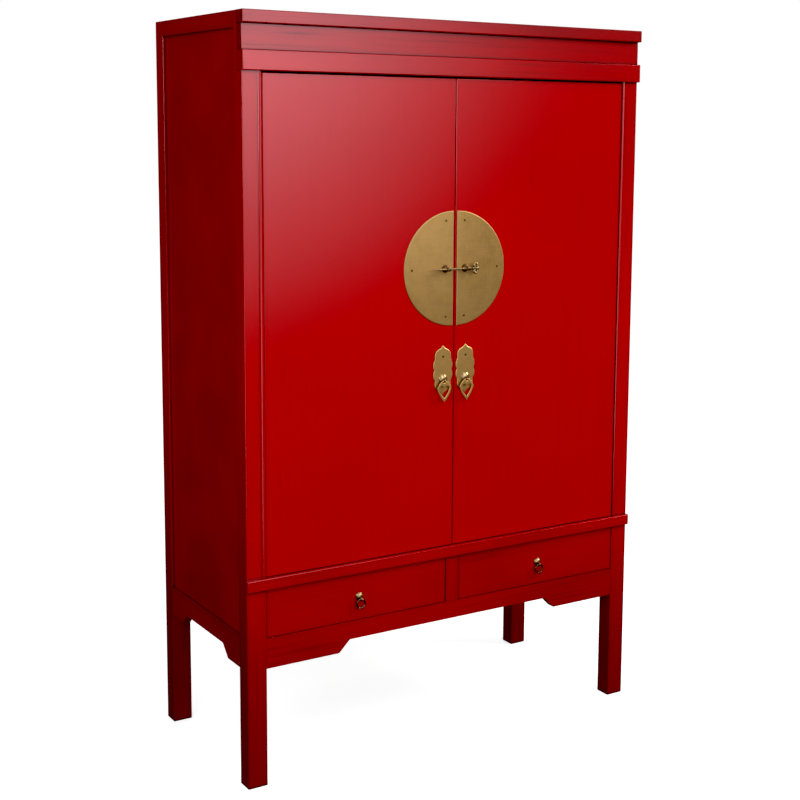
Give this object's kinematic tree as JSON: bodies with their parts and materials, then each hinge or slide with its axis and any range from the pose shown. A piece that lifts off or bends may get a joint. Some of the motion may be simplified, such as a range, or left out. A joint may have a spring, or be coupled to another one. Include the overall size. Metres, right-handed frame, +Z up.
{
  "type": "chinese wedding cabinet",
  "caption": "Tall red-lacquered wooden cabinet on straight legs, with paired pivoting doors locked by a pin through round brass plates, above paired drawers with brass rings.",
  "frame": {"origin": "on the floor, under the middle of the whole cabinet's box, brass included", "axes": "+X to the right seen from the front, +Y to the back, +Z up"},
  "size_m": [1.104, 0.507, 1.75],
  "materials": {
    "red_lacquer": "glossy red lacquer over wood, a little darker on worn edges",
    "inner_wood": "bare wood, waxed",
    "brass": "brushed brass with an antique patina"
  },
  "bodies": {
    "carcass": {"back_bottom_rail": "red_lacquer", "back_floor_rail": "inner_wood", "back_panel": "red_lacquer", "back_top_rail": "red_lacquer", "cornice": "red_lacquer", "cupboard_floor": "inner_wood", "drawer_divider": "red_lacquer", "drawer_kickers": "inner_wood", "drawer_runners": "inner_wood", "frieze_board": "red_lacquer", "front_apron": "red_lacquer", "head_rail": "red_lacquer", "left_back_post": "red_lacquer", "left_front_post": "red_lacquer", "left_side_apron": "red_lacquer", "left_side_panel": "red_lacquer", "left_side_top_rail": "red_lacquer", "lower_shelf": "inner_wood", "right_back_post": "red_lacquer", "right_front_post": "red_lacquer", "right_side_apron": "red_lacquer", "right_side_panel": "red_lacquer", "right_side_top_rail": "red_lacquer", "shelf_cleats": "inner_wood", "top_board": "red_lacquer", "upper_shelf": "inner_wood", "waist_moulding": "red_lacquer", "waist_rail": "red_lacquer"},
    "left_door": {"left_door_leaf": "red_lacquer", "left_door_battens": "inner_wood", "left_door_pivots": "brass", "left_lock_plate": "brass", "left_lock_stud": "brass", "left_pull_plate": "brass", "left_pull_boss": "brass"},
    "left_drop": {"left_pull_drop": "brass"},
    "left_drawer": {"left_drawer_front": "red_lacquer", "left_drawer_outer_side": "inner_wood", "left_drawer_inner_side": "inner_wood", "left_drawer_back": "inner_wood", "left_drawer_bottom": "inner_wood", "left_ring_boss": "brass"},
    "left_ring": {"left_drawer_ring": "brass"},
    "right_door": {"right_door_leaf": "red_lacquer", "right_door_battens": "inner_wood", "right_door_pivots": "brass", "right_lock_plate": "brass", "right_lock_stud": "brass", "right_pull_plate": "brass", "right_pull_boss": "brass"},
    "right_drop": {"right_pull_drop": "brass"},
    "right_drawer": {"right_drawer_front": "red_lacquer", "right_drawer_outer_side": "inner_wood", "right_drawer_inner_side": "inner_wood", "right_drawer_back": "inner_wood", "right_drawer_bottom": "inner_wood", "right_ring_boss": "brass"},
    "right_ring": {"right_drawer_ring": "brass"},
    "pin": {"lock_pin": "brass"}
  },
  "joints": [
    {"name": "left_door_hinge", "type": "hinge", "parent": "carcass", "child": "left_door", "pos_m": [-0.4706, -0.2235, 1.05], "axis": [0, 0, -1], "range_deg": [0, 120]},
    {"name": "left_drop_swing", "type": "hinge", "parent": "left_door", "child": "left_drop", "pos_m": [-0.032, -0.2404, 0.905], "axis": [-1, 0, 0], "range_deg": [0, 80]},
    {"name": "left_drawer_slide", "type": "slide", "parent": "carcass", "child": "left_drawer", "axis": [0, -1, 0], "range_m": [0, 0.3]},
    {"name": "left_ring_swing", "type": "hinge", "parent": "left_drawer", "child": "left_ring", "pos_m": [-0.26025, -0.2399, 0.4035], "axis": [-1, 0, 0], "range_deg": [0, 80]},
    {"name": "right_door_hinge", "type": "hinge", "parent": "carcass", "child": "right_door", "pos_m": [0.4706, -0.2235, 1.05], "axis": [0, 0, 1], "range_deg": [0, 120]},
    {"name": "right_drop_swing", "type": "hinge", "parent": "right_door", "child": "right_drop", "pos_m": [0.032, -0.2404, 0.905], "axis": [-1, 0, 0], "range_deg": [0, 80]},
    {"name": "right_drawer_slide", "type": "slide", "parent": "carcass", "child": "right_drawer", "axis": [0, -1, 0], "range_m": [0, 0.3]},
    {"name": "right_ring_swing", "type": "hinge", "parent": "right_drawer", "child": "right_ring", "pos_m": [0.26025, -0.2399, 0.4035], "axis": [-1, 0, 0], "range_deg": [0, 80]},
    {"name": "pin_slide", "type": "slide", "parent": "right_door", "child": "pin", "axis": [1, 0, 0], "range_m": [0, 0.076]}
  ]
}
